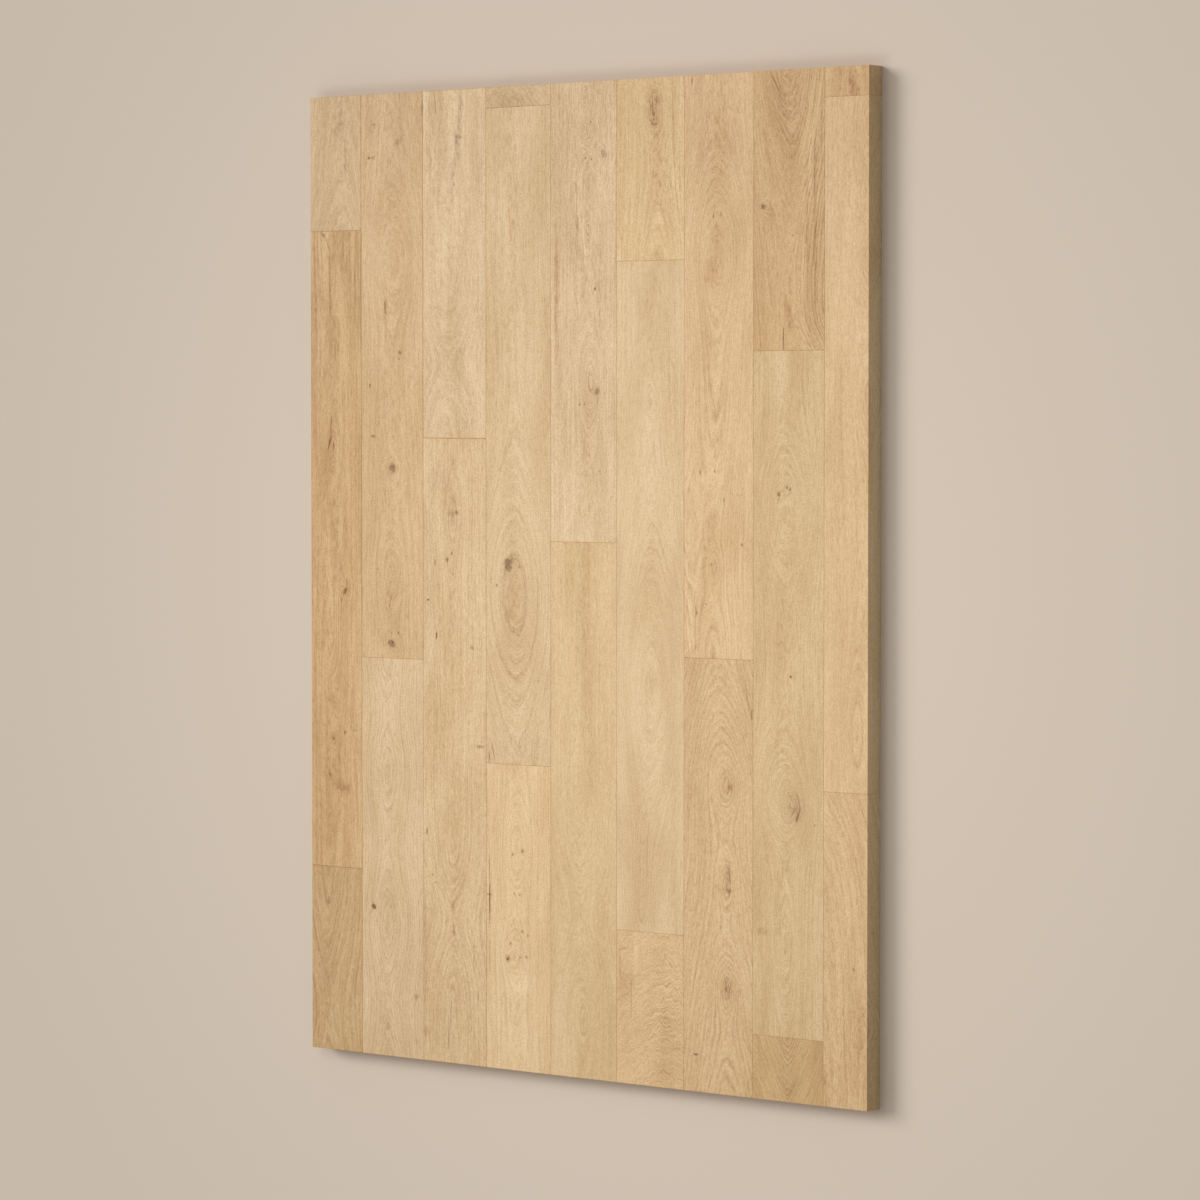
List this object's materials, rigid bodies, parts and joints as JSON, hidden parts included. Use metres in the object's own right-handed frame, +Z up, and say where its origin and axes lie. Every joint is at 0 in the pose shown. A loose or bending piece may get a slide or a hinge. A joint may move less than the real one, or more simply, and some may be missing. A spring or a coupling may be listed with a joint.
{
  "type": "parquet board",
  "caption": "Flat rectangular parquet board of solid oak planks, tongued and grooved along their edges, butted in staggered rows, sawn square and eased at the edges; a floor or wall panel.",
  "frame": {"origin": "centre of the underside", "axes": "+X across the rows towards the narrow ripped row, +Y along the planks towards the head edge, +Z up out of the face"},
  "size_m": [0.76, 1.05, 0.022],
  "materials": {
    "oak": "matt oiled"
  },
  "bodies": {
    "root": {"row1_plank1": "oak", "row1_plank2": "oak", "row1_plank3": "oak", "row2_plank1": "oak", "row2_plank2": "oak", "row3_plank1": "oak", "row3_plank2": "oak", "row4_plank1": "oak", "row4_plank2": "oak", "row4_plank3": "oak", "row5_plank1": "oak", "row5_plank2": "oak", "row6_plank1": "oak", "row6_plank2": "oak", "row6_plank3": "oak", "row7_plank1": "oak", "row7_plank2": "oak", "row8_plank1": "oak", "row8_plank2": "oak", "row8_plank3": "oak", "row9_plank1": "oak", "row9_plank2": "oak", "row9_plank3": "oak"}
  },
  "joints": []
}
